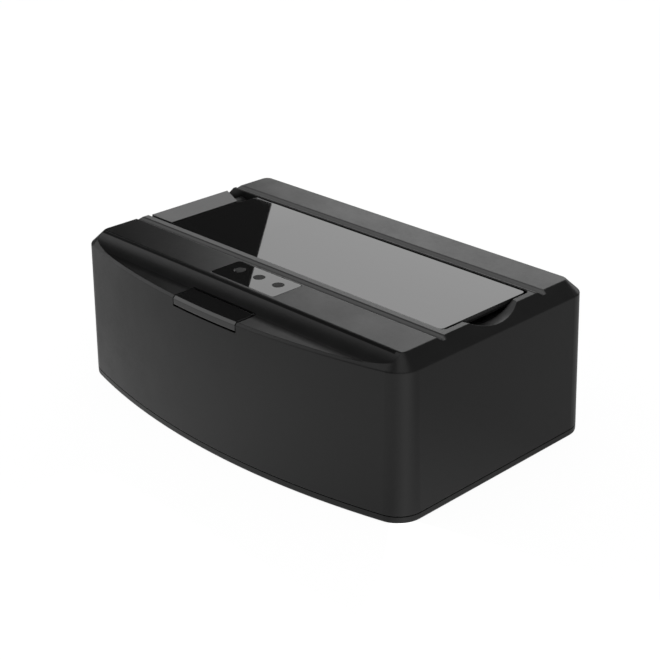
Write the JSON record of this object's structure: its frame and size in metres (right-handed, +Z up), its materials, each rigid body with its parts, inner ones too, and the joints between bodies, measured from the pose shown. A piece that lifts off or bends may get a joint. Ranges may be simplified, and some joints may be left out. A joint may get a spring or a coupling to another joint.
{
  "type": "hard drive docking station",
  "caption": "Desktop dock that holds a bare 3.5 inch hard drive upright under a hinged lid, with an eject button.",
  "frame": {"origin": "middle of the footprint on the surface that the feet stand on", "axes": "+X to the right along the long side, -Y to the bowed front with the button, +Z up"},
  "size_m": [0.1408, 0.09, 0.0494],
  "materials": {
    "housing_plastic": "fine textured black ABS",
    "carrier_plastic": "matte charcoal ABS",
    "gloss_black": "polished black ABS",
    "inner_plastic": "plain black moulding",
    "lever_plastic": "natural white acetal",
    "foot_rubber": "soft black rubber",
    "screw_steel": "zinc plated steel",
    "pin_steel": "ground steel",
    "clear_plastic": "clear acrylic",
    "led_resin": "milky resin",
    "board_laminate": "green solder mask",
    "contact_gold": "gold flash on brass",
    "chip_resin": "moulded epoxy",
    "can_metal": "nickel plated",
    "usb_plastic": "blue moulding"
  },
  "bodies": {
    "base": {"upper_housing": "housing_plastic", "base_cover": "housing_plastic", "rubber_feet": "foot_rubber", "base_screws": "screw_steel", "lid_hinge_pin": "pin_steel", "led_window": "gloss_black", "light_guide": "clear_plastic", "leds": "led_resin", "drive_well": "inner_plastic", "well_screws": "screw_steel", "main_board": "board_laminate", "board_screws": "screw_steel", "sata_connector": "inner_plastic", "sata_contacts": "contact_gold", "bridge_chip": "chip_resin", "crystal": "can_metal", "regulator": "chip_resin", "power_inductor": "chip_resin", "capacitors": "can_metal", "lever_pivot_pin": "pin_steel", "usb_socket": "can_metal", "usb_tongue": "usb_plastic", "power_jack": "inner_plastic", "jack_pin": "contact_gold", "switch_case": "inner_plastic", "switch_pivot": "pin_steel"},
    "lid": {"lid_carrier": "carrier_plastic", "lid_panel": "gloss_black"},
    "eject_button": {"eject_button": "gloss_black"},
    "eject_lever": {"eject_lever": "lever_plastic"},
    "switch_rocker": {"switch_rocker": "inner_plastic"}
  },
  "joints": [
    {"name": "lid_hinge", "type": "hinge", "parent": "base", "child": "lid", "pos_m": [-0.05998, 0.00595, 0.0445], "axis": [0, -1, 0], "range_deg": [0, 100]},
    {"name": "eject_press", "type": "slide", "parent": "base", "child": "eject_button", "axis": [0, 0, 1], "range_m": [0, 0.005]},
    {"name": "lever_pivot", "type": "hinge", "parent": "base", "child": "eject_lever", "pos_m": [0, -0.01405, 0.011], "axis": [-1, 0, 0], "range_deg": [0, 11.46]},
    {"name": "power_rocker", "type": "hinge", "parent": "base", "child": "switch_rocker", "pos_m": [0.026, 0.03855, 0.0119], "axis": [0, 0, 1], "range_deg": [0, 16]}
  ],
  "couplings": [
    {"joint": "lever_pivot", "follows": "eject_press", "rad_per_m": 40}
  ]
}
